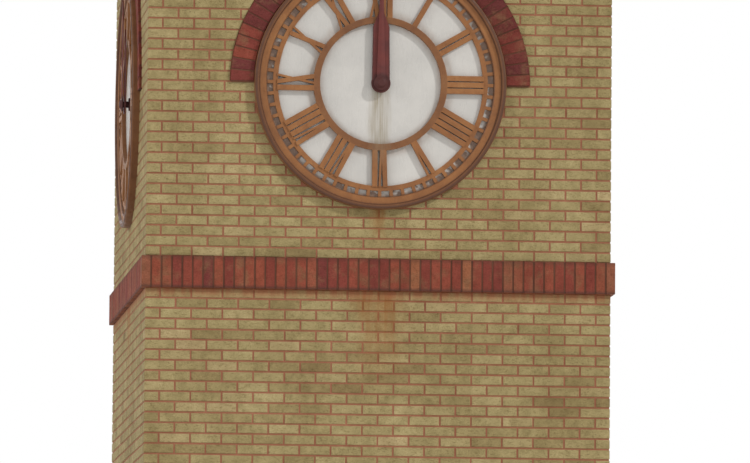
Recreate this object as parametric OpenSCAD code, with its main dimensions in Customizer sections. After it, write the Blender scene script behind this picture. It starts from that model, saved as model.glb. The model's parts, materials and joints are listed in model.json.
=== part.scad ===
// Square brick clock tower with a round skeleton dial and a pair of hands on each side.
// Origin at the centre of the base, +Z up, front side towards -Y. Sizes in millimetres.

/* [Tower] */
// Width of the tower between opposite wall faces
tower_w = 3365; // [2915:225:4265]
// Thickness of the walls
wall_t = 300; // [215:5:450]
// Height of one brick course with its joint
course_h = 75; // [65:1:90]
// Depth of one brick from front to back
brick_d = 102.5; // [90:0.5:120]
// Length of one brick
brick_l = 215; // [190:1:240]

/* [Stages, counted in brick courses] */
// Courses in the plinth
plinth_courses = 6; // [4:1:12]
// Courses between the plinth and the lower red band
shaft_courses = 86; // [50:1:110]
// Courses in each red band
band_courses = 3; // [2:1:4]
// Courses between the two red bands, with the dial in the middle
clock_courses = 34; // [30:1:44]
// Courses between the upper red band and the cornice
top_courses = 8; // [4:1:16]
// Oversailing courses in the cornice
cornice_courses = 3; // [2:1:5]

/* [Projections] */
// How far the plinth stands out from the walls
plinth_out = 45; // [25:5:80]
// How far the red bands stand out from the walls
band_out = 30; // [15:5:50]
// How far the brick arches stand out from the walls
arch_out = 20; // [10:1:35]
// How far each cornice course stands out from the one below
corbel_out = 28; // [15:1:45]

/* [Doorway] */
// Clear width of the doorway
door_w = 900; // [750:10:1200]
// Courses in the height of the doorway above the step
door_courses = 28; // [26:1:32]
// Courses in the height of the step
step_courses = 2; // [1:1:3]
// How far the step stands out from the wall
step_out = 160; // [100:10:300]
// Width of the door frame's members
frame_w = 62; // [45:1:90]
// Depth of the door frame
frame_d = 95; // [70:1:130]
// Thickness of the door leaf
leaf_t = 44; // [35:1:60]
// Width of the frame's rebate that the leaf shuts into
rebate_w = 14; // [10:1:20]
// Free space around the edges of the leaf
leaf_gap = 3; // [2:1:6]
// Length that the brick lintel bears on the wall on each side
lintel_bearing = 225; // [150:25:300]

/* [Floor] */
// Thickness of the ground floor
floor_t = 150; // [100:10:250]

/* [Dial] */
// Outer radius of the dial's rim
dial_r = 915; // [850:5:960]
// Radial width of the rim
rim_w = 90; // [75:5:110]
// How far the rim stands out from the wall
rim_out = 62; // [50:1:70]
// Radial width of the open minute track
track_w = 45; // [35:1:60]
// Radial width of the ring inside the minute track
track_ring_w = 35; // [20:1:45]
// Height of the numerals, measured along the radius
numeral_h = 259; // [230:1:280]
// Radial width of the ring inside the numerals
inner_ring_w = 46; // [30:1:60]
// Width of one minute bar
minute_bar_w = 24; // [16:1:32]
// Width of a numeral's thick stroke
stroke_w = 38; // [30:1:42]
// Width of a numeral's thin stroke
thin_w = 16; // [12:1:22]
// Gap between two strokes of a numeral
stroke_gap = 8; // [5:1:12]
// Width of the numeral V at its outer end
v_w = 66; // [58:1:80]
// Width of the numeral X
x_w = 74; // [64:1:90]
// How far the face of the numerals stands out from the wall
casting_out = 40; // [32:1:44]
// Thickness of the opal glass
glass_t = 8; // [6:1:12]
// Width of the wall face that the rim covers around the opening
rim_cover = 45; // [30:1:60]

/* [Hands] */
// Length of the minute hand from its axis
minute_l = 775; // [650:5:800]
// Width of the minute hand at its hub
minute_w = 66; // [50:1:80]
// Width of the minute hand at its tip
minute_tip_w = 20; // [12:1:30]
// Length of the hour hand from its axis
hour_l = 560; // [480:5:600]
// Width of the hour hand
hour_w = 130; // [90:1:136]
// Length of the hour hand's point
hour_point = 150; // [100:5:200]
// Thickness of each hand along its ridge
hand_t = 10; // [8:1:12]
// Thickness of a hand's blade at its edges
hand_edge_t = 4; // [2:0.5:7]
// Radius of the hour hand's hub
hour_hub_r = 70; // [68:1:90]
// Radius of the minute hand's hub
minute_hub_r = 52; // [42:1:62]
// Outer radius of the hour hand's pipe, which turns in the glass
pipe_r = 24; // [22:1:32]
// Length of the pipe behind the wall face
pipe_tail = 40; // [25:5:80]
// Radius of the collar on the pipe in front of the glass
collar_r = 48; // [40:1:60]
// Thickness of the collar
collar_t = 12; // [8:1:16]
// Radius of the minute hand's spindle, which turns in the pipe
spindle_r = 14; // [10:1:17]
// Clear space between the casting and the hour hand, and between the two hands
hand_gap = 8; // [6:0.5:12]

/* [Roof] */
// How far the eaves stand out from the walls
eaves_out = 300; // [200:10:450]
// Pitch of the roof in degrees
roof_pitch = 45; // [38:1:55]
// Height of the fascia board
fascia_h = 175; // [120:5:240]
// Thickness of the fascia and soffit boards
board_t = 25; // [18:1:35]
// Thickness of the roof's shell, measured upright
shell_t = 110; // [80:5:150]
// How far the roof's edge runs past the fascia
drip = 40; // [25:5:60]
// Radius of the hip tiles
hip_r = 75; // [60:5:95]
// Length that shows of each hip tile
hip_tile_l = 400; // [300:10:500]
// Length of the collar at the lower end of a hip tile
hip_collar_l = 50; // [30:5:80]
// How far the collar stands out from the tile
hip_collar_out = 10; // [5:1:15]
// Radius of the finial's base
finial_r = 130; // [110:5:160]
// Height of the finial above the roof's point
finial_h = 720; // [500:10:900]
// Radius of the finial's ball
ball_r = 95; // [70:5:115]

/* [Hidden] */

buff = [0.64, 0.56, 0.38];
brick_red = [0.48, 0.25, 0.20];
bronze = [0.52, 0.36, 0.22];
maroon = [0.42, 0.17, 0.18];
opal = [0.86, 0.85, 0.82];
slate = [0.29, 0.31, 0.34];
timber = [0.33, 0.20, 0.14];
concrete = [0.62, 0.61, 0.58];
lead = [0.45, 0.46, 0.48];

half_w = tower_w / 2;
inner_half = half_w - wall_t;
// Space that is left around a piece that turns on a pin
run = 0.3;
// Spare length of every cutter past the face that it cuts
past = 50;

plinth_z = plinth_courses * course_h;
band_h = band_courses * course_h;
lower_band_z = plinth_z + shaft_courses * course_h;
clock_z = lower_band_z + band_h;
clock_h = clock_courses * course_h;
upper_band_z = clock_z + clock_h;
top_z = upper_band_z + band_h;
cornice_z = top_z + top_courses * course_h;
eaves_z = cornice_z + cornice_courses * course_h;
dial_z = clock_z + clock_h / 2;

step_z = step_courses * course_h;
door_h = door_courses * course_h;
door_head = step_z + door_h;
// The lintel is one row of bricks on end, as the bands are
lintel_h = band_h;

opening_r = dial_r - rim_cover;
arch_r = opening_r + brick_l;
// Width of the joint between the arch and the rim
rim_joint = 2;
track_r = dial_r - rim_w;
numeral_out = track_r - track_w - track_ring_w;
numeral_in = numeral_out - numeral_h;
centre_r = numeral_in - inner_ring_w;
glass_back = 2;
glass_front = glass_back + glass_t;
hour_back = casting_out + hand_gap;
hour_front = hour_back + hand_t;
minute_back = hour_front + hand_gap;
minute_front = minute_back + hand_t;
cap_h = 16;
// Length by which the strokes and minute bars run into the rings that hold them
root = 6;
// Length by which the minute hand's cap and spindle run into its blade
seat = 1;
// Width of the thick slanting strokes of V and X
slant_w = stroke_w - 6;
// Overlap of the two strokes at the foot of a V
foot_lap = 4;

eaves_half = half_w + eaves_out;
roof_half = eaves_half + drip;
roof_z = eaves_z + fascia_h;
roof_h = roof_half * tan(roof_pitch);
apex_z = roof_z + roof_h;
cap_top = apex_z + hip_r;

// Turn of each side about the tower's axis, from the front
front = 0;
right = 90;
back = 180;
left = 270;

// Children drawn flat, as seen from outside, are set on the wall face at the dial's centre
module on_side(turn) {
    rotate([0, 0, turn])
        translate([0, -half_w, dial_z])
            rotate([90, 0, 0])
                children();
}

// A square ring, with its outer and inner half widths
module square_ring(outer, inner, z, h) {
    difference() {
        translate([-outer, -outer, z])
            cube([2 * outer, 2 * outer, h]);
        translate([-inner, -inner, z - past])
            cube([2 * inner, 2 * inner, h + 2 * past]);
    }
}

// A flat ring drawn in the plane of a dial
module flat_ring(outer, inner) {
    difference() {
        circle(r = outer, $fn = 120);
        circle(r = inner, $fn = 120);
    }
}

// Plinth: a square ring with a sloping top edge and a gap at the doorway
module plinth() {
    outer = half_w + plinth_out;
    color(brick_red)
        difference() {
            square_ring(outer, inner_half, 0, plinth_z);
            for (turn = [front, right, back, left])
                rotate([0, 0, turn])
                    translate([-outer - past, -outer, plinth_z])
                        rotate([90, 0, 90])
                            linear_extrude(2 * (outer + past))
                                polygon([[-past, past], [-past, -course_h], [0, -course_h],
                                         [plinth_out, 0], [plinth_out, past]]);
            translate([-door_w / 2, half_w - wall_t - past, -past])
                cube([door_w, wall_t + plinth_out + 2 * past, plinth_z + 2 * past]);
        }
}

// A plain wall of the shaft, on the left and right sides fitted between the front and back walls
module shaft_wall(turn, half_length) {
    color(buff)
        rotate([0, 0, turn])
            translate([-half_length, -half_w, plinth_z])
                cube([2 * half_length, wall_t, lower_band_z - plinth_z]);
}

// Space that the brick lintel takes in the face of the back wall
module lintel_block(spare) {
    translate([-door_w / 2 - lintel_bearing, half_w - brick_d, door_head])
        cube([door_w + 2 * lintel_bearing, brick_d + spare, lintel_h]);
}

// The back wall beside the doorway; side is -1 for the left half seen along +Y, and 1 for the right
module back_wall_beside(side) {
    low_x = side < 0 ? -half_w : door_w / 2;
    color(buff)
        difference() {
            translate([low_x, inner_half, plinth_z])
                cube([half_w - door_w / 2, wall_t, lower_band_z - plinth_z]);
            lintel_block(past);
        }
}

module back_wall_over_door() {
    color(buff)
        difference() {
            translate([-door_w / 2, inner_half, door_head])
                cube([door_w, wall_t, lower_band_z - door_head]);
            lintel_block(past);
        }
}

module door_lintel() {
    color(brick_red)
        lintel_block(0);
}

// A red band of bricks set on end, standing out from the walls
module band(z) {
    color(brick_red)
        square_ring(half_w + band_out, inner_half, z, band_h);
}

// Wall of the clock stage: an opening for the dial, and a seat for the arch over it
module clock_wall(turn, half_length) {
    color(buff)
        difference() {
            rotate([0, 0, turn])
                translate([-half_length, -half_w, clock_z])
                    cube([2 * half_length, wall_t, clock_h]);
            on_side(turn) {
                translate([0, 0, -wall_t - past])
                    cylinder(r = opening_r, h = wall_t + 2 * past, $fn = 120);
                translate([0, 0, -brick_d])
                    rotate_extrude(angle = 180, $fn = 120)
                        translate([opening_r - past, 0])
                            square([brick_l + past, brick_d + past]);
            }
        }
}

// Semicircular arch of bricks on end over the dial, stepped back where the rim covers it
module arch(turn) {
    step_r = dial_r + rim_joint;
    color(brick_red)
        on_side(turn)
            rotate_extrude(angle = 180, $fn = 120)
                polygon([[opening_r, -brick_d], [arch_r, -brick_d], [arch_r, arch_out],
                         [step_r, arch_out], [step_r, 0], [opening_r, 0]]);
}

module top_wall() {
    color(buff)
        square_ring(half_w, inner_half, top_z, cornice_z - top_z);
}

// Cornice: each course stands out further than the one below
module cornice() {
    color(brick_red)
        difference() {
            union()
                for (i = [1 : cornice_courses])
                    translate([-half_w - i * corbel_out, -half_w - i * corbel_out,
                               cornice_z + (i - 1) * course_h])
                        cube([tower_w + 2 * i * corbel_out, tower_w + 2 * i * corbel_out,
                              course_h]);
            translate([-inner_half, -inner_half, cornice_z - past])
                cube([2 * inner_half, 2 * inner_half, eaves_z - cornice_z + 2 * past]);
        }
}

// Strokes of the numerals, with the foot of each at y = 0 and its head at y = numeral_h
module stroke_i() {
    translate([-stroke_w / 2, -root])
        square([stroke_w, numeral_h + 2 * root]);
}

module stroke_v() {
    foot = (stroke_w + thin_w) / 2 - foot_lap;
    head = v_w / 2;
    polygon([[-head, numeral_h + root], [-head + slant_w, numeral_h + root],
             [foot - thin_w / 2, -root], [-foot, -root]]);
    polygon([[head - thin_w, numeral_h + root], [head, numeral_h + root],
             [foot, -root], [foot - thin_w, -root]]);
}

module stroke_x() {
    side = x_w / 2;
    polygon([[-side, numeral_h + root], [-side + slant_w, numeral_h + root],
             [side, -root], [side - slant_w, -root]]);
    polygon([[side - thin_w, numeral_h + root], [side, numeral_h + root],
             [-side + thin_w, -root], [-side, -root]]);
}

NUMERALS = ["XII", "I", "II", "III", "IIII", "V", "VI", "VII", "VIII", "IX", "X", "XI"];

function stroke_width(letter) = letter == "I" ? stroke_w : letter == "V" ? v_w : x_w;
// Width of the first n letters of a word with the gaps that follow them
function run_width(word, n) =
    n == 0 ? 0 : stroke_width(word[n - 1]) + stroke_gap + run_width(word, n - 1);

module numeral(word) {
    total = run_width(word, len(word)) - stroke_gap;
    for (i = [0 : len(word) - 1])
        translate([run_width(word, i) + stroke_width(word[i]) / 2 - total / 2, 0])
            if (word[i] == "I")
                stroke_i();
            else if (word[i] == "V")
                stroke_v();
            else
                stroke_x();
}

// Rim of the dial in section: radius across, height above the wall face upwards
module rim_section() {
    bead = 16;
    lip = 30;
    groove = 8;
    flat_out = casting_out + 4;
    steps = 6;
    polygon(concat(
        [[track_r, 0], [dial_r, 0]],
        [for (i = [0 : steps])
            [dial_r - bead + bead * cos(90 * i / steps),
             rim_out - bead + bead * sin(90 * i / steps)]],
        [[dial_r - lip, rim_out], [dial_r - lip - groove, flat_out],
         [track_r + groove, flat_out], [track_r, flat_out - groove]]));
}

// The dial's casting: rim, minute track, numerals and inner ring
module dial(turn) {
    track_front = casting_out - 8;
    color(bronze)
        on_side(turn) {
            rotate_extrude($fn = 120)
                rim_section();
            translate([0, 0, glass_front])
                linear_extrude(track_front - glass_front) {
                    flat_ring(track_r - track_w, numeral_out);
                    for (i = [0 : 59])
                        rotate(-6 * i)
                            translate([-minute_bar_w / 2, track_r - track_w - root])
                                square([minute_bar_w, track_w + 2 * root]);
                }
            translate([0, 0, glass_front])
                linear_extrude(casting_out - glass_front) {
                    flat_ring(numeral_in, centre_r);
                    for (i = [0 : 11])
                        rotate(-30 * i)
                            translate([0, numeral_in])
                                numeral(NUMERALS[i]);
                }
        }
}

// Opal glass behind the casting, with a hole for the hour hand's pipe
module glass(turn) {
    color(opal)
        on_side(turn)
            translate([0, 0, glass_back])
                difference() {
                    cylinder(r = track_r - run, h = glass_t, $fn = 120);
                    translate([0, 0, -past])
                        cylinder(r = pipe_r + run, h = glass_t + 2 * past, $fn = 64);
                }
}

// Blade of a hand: the outline drawn as its child, raised to a ridge along the middle
module ridged_blade(w, l) {
    intersection() {
        linear_extrude(hand_t)
            children();
        translate([0, l + past, 0])
            rotate([90, 0, 0])
                linear_extrude(l + 2 * past)
                    polygon([[-w / 2, 0], [w / 2, 0], [w / 2, hand_edge_t], [0, hand_t],
                             [-w / 2, hand_edge_t]]);
    }
}

// Hour hand: a broad blade with a point, its hub, and the pipe and collar that carry it
module hour_hand(turn) {
    shoulder = 0.46 * hour_w;
    color(maroon)
        on_side(turn)
            difference() {
                union() {
                    translate([0, 0, hour_back]) {
                        cylinder(r = hour_hub_r, h = hand_t, $fn = 64);
                        ridged_blade(hour_w, hour_l)
                            polygon([[-hour_w / 2, 0], [hour_w / 2, 0],
                                     [shoulder, hour_l - hour_point], [0, hour_l],
                                     [-shoulder, hour_l - hour_point]]);
                    }
                    translate([0, 0, -pipe_tail])
                        cylinder(r = pipe_r, h = pipe_tail + minute_back - run, $fn = 64);
                    translate([0, 0, glass_front + run])
                        cylinder(r = collar_r, h = collar_t, $fn = 64);
                }
                translate([0, 0, -pipe_tail - past])
                    cylinder(r = spindle_r + run, h = pipe_tail + minute_back + 2 * past,
                             $fn = 64);
            }
}

// Minute hand: a tapered blade, its hub and cap, and the spindle that carries it
module minute_hand(turn) {
    spindle_tail = pipe_tail + 10;
    color(maroon)
        on_side(turn) {
            translate([0, 0, minute_back]) {
                cylinder(r = minute_hub_r, h = hand_t, $fn = 64);
                ridged_blade(minute_w, minute_l)
                    polygon([[-minute_w / 2, 0], [minute_w / 2, 0],
                             [minute_tip_w / 2, minute_l - minute_tip_w],
                             [0, minute_l],
                             [-minute_tip_w / 2, minute_l - minute_tip_w]]);
            }
            translate([0, 0, minute_front - seat])
                cylinder(r1 = 0.8 * minute_hub_r, r2 = 0.45 * minute_hub_r, h = cap_h + seat,
                         $fn = 64);
            translate([0, 0, -spindle_tail])
                cylinder(r = spindle_r, h = spindle_tail + minute_back + seat, $fn = 64);
        }
}

module door_step() {
    color(concrete)
        translate([-door_w / 2, inner_half, 0])
            cube([door_w, wall_t + step_out, step_z]);
}

// Door frame: two posts and a head, set back one brick from the wall's face, with a rebate
// on its outer side for the leaf
module door_frame() {
    front_y = half_w - brick_d;
    color(timber)
        difference() {
            translate([-door_w / 2, front_y - frame_d, step_z])
                cube([door_w, frame_d, door_h]);
            translate([-door_w / 2 + frame_w, front_y - frame_d - past, step_z - past])
                cube([door_w - 2 * frame_w, frame_d + 2 * past, door_h - frame_w + past]);
            translate([-door_w / 2 + frame_w - rebate_w, front_y - leaf_t, step_z - past])
                cube([door_w - 2 * (frame_w - rebate_w), leaf_t + past,
                      door_h - frame_w + rebate_w + past]);
        }
}

module door_leaf() {
    low_x = -door_w / 2 + frame_w - rebate_w + leaf_gap;
    color(timber)
        translate([low_x, half_w - brick_d - leaf_t, step_z + leaf_gap])
            cube([-2 * low_x, leaf_t, door_h - frame_w + rebate_w - 2 * leaf_gap]);
}

module ground_floor() {
    color(concrete)
        translate([-inner_half, -inner_half, 0])
            cube([2 * inner_half, 2 * inner_half, floor_t]);
}

// Soffit board on the cornice, with a fascia board standing at its edge
module eaves() {
    color(timber) {
        square_ring(eaves_half, inner_half, eaves_z, board_t);
        square_ring(eaves_half, eaves_half - board_t, eaves_z, fascia_h);
    }
}

// Solid pyramid over the eaves, lowered by a given amount
module pyramid(drop) {
    intersection_for (turn = [front, right])
        rotate([0, 0, turn])
            translate([-roof_half - past, 0, 0])
                rotate([90, 0, 90])
                    linear_extrude(2 * (roof_half + past))
                        polygon([[-roof_half, roof_z - drop], [0, apex_z - drop],
                                 [roof_half, roof_z - drop]]);
}

module roof() {
    color(slate)
        difference() {
            pyramid(0);
            pyramid(shell_t);
        }
}

// Round tiles of one hip in a row along +Z from the roof's point, each with a collar where it
// laps over the tile below
module hip_row(l) {
    cylinder(r = hip_r, h = l, $fn = 32);
    for (z = [l - hip_tile_l : -hip_tile_l : finial_r])
        translate([0, 0, z - hip_collar_l])
            cylinder(r = hip_r + hip_collar_out, h = hip_collar_l, $fn = 32);
}

// Half-round tiles down the four hips, joined by a round cap over the roof's point
module hip_tiles() {
    hip_run = norm([roof_half, roof_half]);
    hip_fall = atan(roof_h / hip_run);
    color(slate)
        difference() {
            union() {
                for (i = [0 : 3])
                    translate([0, 0, apex_z])
                        rotate([0, 90 + hip_fall, 45 + 90 * i])
                            hip_row(norm([hip_run, roof_h]));
                translate([0, 0, apex_z - finial_r])
                    cylinder(r = finial_r, h = cap_top - apex_z + finial_r, $fn = 64);
            }
            pyramid(0);
            translate([-2 * roof_half, -2 * roof_half, roof_z - roof_half])
                cube([4 * roof_half, 4 * roof_half, roof_half]);
        }
}

// Finial on the cap: a sloping base, a ball and a spike
module finial() {
    foot_r = 0.9 * finial_r;
    foot_h = 20;
    neck_r = 0.4 * finial_r;
    tip_r = 6;
    ball_z = cap_top + foot_r + ball_r;
    dip = asin(neck_r / ball_r);
    turn = 170 - dip;
    steps = 11;
    color(lead)
        rotate_extrude($fn = 64)
            polygon(concat(
                [[0, cap_top], [foot_r, cap_top], [foot_r, cap_top + foot_h],
                 [neck_r, ball_z - ball_r * cos(dip)]],
                [for (i = [1 : steps])
                    [ball_r * sin(dip + turn * i / steps),
                     ball_z - ball_r * cos(dip + turn * i / steps)]],
                [[tip_r, cap_top + finial_h], [0, cap_top + finial_h]]));
}

plinth();
shaft_wall(front, half_w);  // front_wall
shaft_wall(left, inner_half);  // left_wall
shaft_wall(right, inner_half);  // right_wall
back_wall_beside(-1);  // back_wall_left
back_wall_beside(1);  // back_wall_right
back_wall_over_door();
band(lower_band_z);  // lower_band
band(upper_band_z);  // upper_band
clock_wall(front, half_w);  // front_clock_wall
clock_wall(right, inner_half);  // right_clock_wall
clock_wall(back, half_w);  // back_clock_wall
clock_wall(left, inner_half);  // left_clock_wall
top_wall();
cornice();
arch(front);  // front_arch
arch(right);  // right_arch
arch(back);  // back_arch
arch(left);  // left_arch
dial(front);  // front_dial
dial(right);  // right_dial
dial(back);  // back_dial
dial(left);  // left_dial
glass(front);  // front_glass
glass(right);  // right_glass
glass(back);  // back_glass
glass(left);  // left_glass
hour_hand(front);  // front_hour_hand
hour_hand(right);  // right_hour_hand
hour_hand(back);  // back_hour_hand
hour_hand(left);  // left_hour_hand
minute_hand(front);  // front_minute_hand
minute_hand(right);  // right_minute_hand
minute_hand(back);  // back_minute_hand
minute_hand(left);  // left_minute_hand
door_step();
door_frame();
door_leaf();
door_lintel();
ground_floor();
eaves();
roof();
hip_tiles();
finial();
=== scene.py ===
import json
import math
import random

import bmesh
import bpy
import numpy as np
from mathutils import Matrix, Vector


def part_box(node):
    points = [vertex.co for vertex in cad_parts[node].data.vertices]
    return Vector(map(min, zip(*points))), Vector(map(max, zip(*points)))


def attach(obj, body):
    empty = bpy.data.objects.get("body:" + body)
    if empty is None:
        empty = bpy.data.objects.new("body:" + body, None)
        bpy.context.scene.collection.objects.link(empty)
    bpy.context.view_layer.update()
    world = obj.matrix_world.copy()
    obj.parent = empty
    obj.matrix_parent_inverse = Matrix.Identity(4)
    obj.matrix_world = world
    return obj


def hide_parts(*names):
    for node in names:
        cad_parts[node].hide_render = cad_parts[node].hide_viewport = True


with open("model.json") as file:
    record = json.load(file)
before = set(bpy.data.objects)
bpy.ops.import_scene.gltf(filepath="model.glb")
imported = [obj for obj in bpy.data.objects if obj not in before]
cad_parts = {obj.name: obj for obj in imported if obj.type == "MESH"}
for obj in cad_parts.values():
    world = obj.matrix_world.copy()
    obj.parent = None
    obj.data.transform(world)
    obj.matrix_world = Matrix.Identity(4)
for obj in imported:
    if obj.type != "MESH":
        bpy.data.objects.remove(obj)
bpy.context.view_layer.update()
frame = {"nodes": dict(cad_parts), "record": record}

nodes = frame["nodes"]
chance = random.Random(1887)  # one seeded source for every small unevenness

sides = ["front", "right", "back", "left"]
sideTurn = {side: Matrix.Rotation(math.radians(90 * i), 4, "Z") for i, side in enumerate(sides)}

# Heights and half widths, all read from the frame
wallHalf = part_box("front_wall")[1].x
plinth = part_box("plinth")
plinthTop = plinth[1].z
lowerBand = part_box("lower_band")
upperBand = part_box("upper_band")
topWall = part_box("top_wall")
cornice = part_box("cornice")
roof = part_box("roof")
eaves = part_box("eaves")
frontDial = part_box("front_dial")
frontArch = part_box("front_arch")
dialRadius = frontDial[1].x
dialHeight = (frontDial[1].z + frontDial[0].z) / 2
archRadius = frontArch[1].x
archOut = -frontArch[0].y
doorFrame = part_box("door_frame")
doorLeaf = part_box("door_leaf")
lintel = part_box("door_lintel")
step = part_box("door_step")


# Camera at the photograph's viewing angle

photo = dict(width=750, height=463, dialX=379, dialY=83)  # pixels
camera = dict(
    place=(-5.97, -61.7, 1.65),  # eye height, 60 m away and a little to the left
    frameWidth=5.414,            # metres that the picture's width covers at the front wall
    roll=0.46,                   # degrees, the picture leans clockwise
    sensor=36.0,
    farthest=1000,
)


def makeCamera():
    perPixel = camera["frameWidth"] / photo["width"]
    target = Vector((
        (photo["width"] / 2 - photo["dialX"]) * perPixel,
        -wallHalf,
        dialHeight - (photo["height"] / 2 - photo["dialY"]) * perPixel,
    ))
    place = Vector(camera["place"])
    view = target - place
    data = bpy.data.cameras.new("camera")
    data.sensor_width = camera["sensor"]
    data.lens = camera["sensor"] * view.length / camera["frameWidth"]
    data.clip_end = camera["farthest"]
    cam = bpy.data.objects.new("camera", data)
    turn = view.to_track_quat("-Z", "Y").to_matrix().to_4x4()
    roll = Matrix.Rotation(math.radians(camera["roll"]), 4, "Z")
    cam.matrix_world = Matrix.Translation(place) @ turn @ roll
    bpy.context.scene.collection.objects.link(cam)
    bpy.context.scene.camera = cam


makeCamera()
print("camera is in place")


# Small helpers for shaders


def srgb(red, green, blue):
    return tuple(((c / 255 + 0.055) / 1.055) ** 2.4 if c > 10 else c / 255 / 12.92
                 for c in (red, green, blue)) + (1.0,)


def startFinish(name, gloss=0.5):
    finish = bpy.data.materials.new(name)
    finish.use_nodes = True
    tree = finish.node_tree
    shader = tree.nodes["Principled BSDF"]
    shader.inputs["Specular IOR Level"].default_value = gloss
    coords = tree.nodes.new("ShaderNodeTexCoord").outputs["Object"]
    return finish, tree, shader, coords


def plug(tree, socket, value):
    if isinstance(value, bpy.types.NodeSocket):
        tree.links.new(value, socket)
    else:
        socket.default_value = value


def maths(tree, operation, *values):
    node = tree.nodes.new("ShaderNodeMath")
    node.operation = operation
    for socket, value in zip(node.inputs, values):
        plug(tree, socket, value)
    return node.outputs["Value"]


def scaled(tree, coords, scale):
    node = tree.nodes.new("ShaderNodeMapping")
    node.inputs["Scale"].default_value = scale
    tree.links.new(coords, node.inputs["Vector"])
    return node.outputs["Vector"]


def noise(tree, coords, scale, detail=4.0, roughness=0.55):
    node = tree.nodes.new("ShaderNodeTexNoise")
    node.inputs["Scale"].default_value = scale
    node.inputs["Detail"].default_value = detail
    node.inputs["Roughness"].default_value = roughness
    tree.links.new(coords, node.inputs["Vector"])
    return node.outputs["Fac"]


def fade(tree, value, low, high, start=0.0, end=1.0):
    node = tree.nodes.new("ShaderNodeMapRange")
    node.interpolation_type = "SMOOTHSTEP"
    plug(tree, node.inputs["Value"], value)
    for name, number in (("From Min", low), ("From Max", high), ("To Min", start), ("To Max", end)):
        node.inputs[name].default_value = number
    return node.outputs["Result"]


def ramp(tree, value, *stops):
    node = tree.nodes.new("ShaderNodeValToRGB")
    points = node.color_ramp.elements
    while len(points) < len(stops):
        points.new(0.5)
    for point, (place, colour) in zip(points, stops):
        point.position = place
        point.color = colour
    tree.links.new(value, node.inputs["Fac"])
    return node.outputs["Color"]


def mixed(tree, amount, below, above, mode="MIX"):
    node = tree.nodes.new("ShaderNodeMix")
    node.data_type = "RGBA"
    node.blend_type = mode
    plug(tree, node.inputs["Factor"], amount)
    plug(tree, node.inputs[6], below)
    plug(tree, node.inputs[7], above)
    return node.outputs[2]


# The base colour, darkened where a pattern is low
def shaded(tree, base, value, dark, low=0.3, high=0.7):
    return mixed(tree, 1.0, base, ramp(tree, value, (low, dark), (high, srgb(255, 255, 255))),
                 "MULTIPLY")


def bump(tree, shader, height, distance):
    node = tree.nodes.new("ShaderNodeBump")
    node.inputs["Distance"].default_value = distance
    tree.links.new(height, node.inputs["Height"])
    tree.links.new(node.outputs["Normal"], shader.inputs["Normal"])


# Roughness that wanders between two values with a pattern
def rough(tree, shader, pattern, low, high):
    tree.links.new(fade(tree, pattern, 0.3, 0.7, low, high), shader.inputs["Roughness"])


# The tone that each brick or slate has of its own, from 0 to 1
def tone(tree):
    node = tree.nodes.new("ShaderNodeAttribute")
    node.attribute_name = "tone"
    return node.outputs["Fac"]


# How far a point lies from the middle of its side, and its height: the same on all four sides
def sidePlace(tree, coords):
    node = tree.nodes.new("ShaderNodeSeparateXYZ")
    tree.links.new(coords, node.inputs["Vector"])
    across = maths(tree, "MINIMUM", maths(tree, "ABSOLUTE", node.outputs["X"]),
                   maths(tree, "ABSOLUTE", node.outputs["Y"]))
    return across, node.outputs["Z"]


# Rust that has run down from the dials and from the lower band, red wash from the bricks above,
# soot with painted shade along the foot of each band, a darker top to each band, and damp at the
# ground

weatherAndShade = dict(
    runs=(dict(top=dialHeight - dialRadius, length=0.33, half=0.10, strength=0.65),
          dict(top=lowerBand[0].z, length=0.78, half=0.26, strength=0.95)),
    stray=0.07,     # the runs wander this far to either side
    rust=srgb(138, 91, 48), wash=srgb(142, 84, 58), sootAndShade=srgb(70, 46, 38), damp=srgb(86, 84, 62),
    # Wash lies under these boxes; soot with painted shade at the foot of a band, and a darker top:
    # reach and strength
    washed=((lowerBand, 0.10, 0.9), (upperBand, 0.08, 0.75), (cornice, 0.12, 0.75)),
    sootAndShadeFoot=(0.03, 0.75), darkerTop=(-0.04, 0.4),
    # This end also bounds the painted shade at a band's foot
    end=0.002,      # dirt on one side of an edge ends this far past it
    dampTop=0.75, dampest=0.55,
)


# Dirt and painted shade, thickest at an edge and fading out over a reach, up or down from it
def edgeDirtAndShade(tree, z, edge, reach, strength):
    past = math.copysign(weatherAndShade["end"], -reach)
    return maths(tree, "MULTIPLY", fade(tree, z, edge + reach, edge, 0.0, strength),
                 fade(tree, z, edge, edge + past, 1.0, 0.0))


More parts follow.
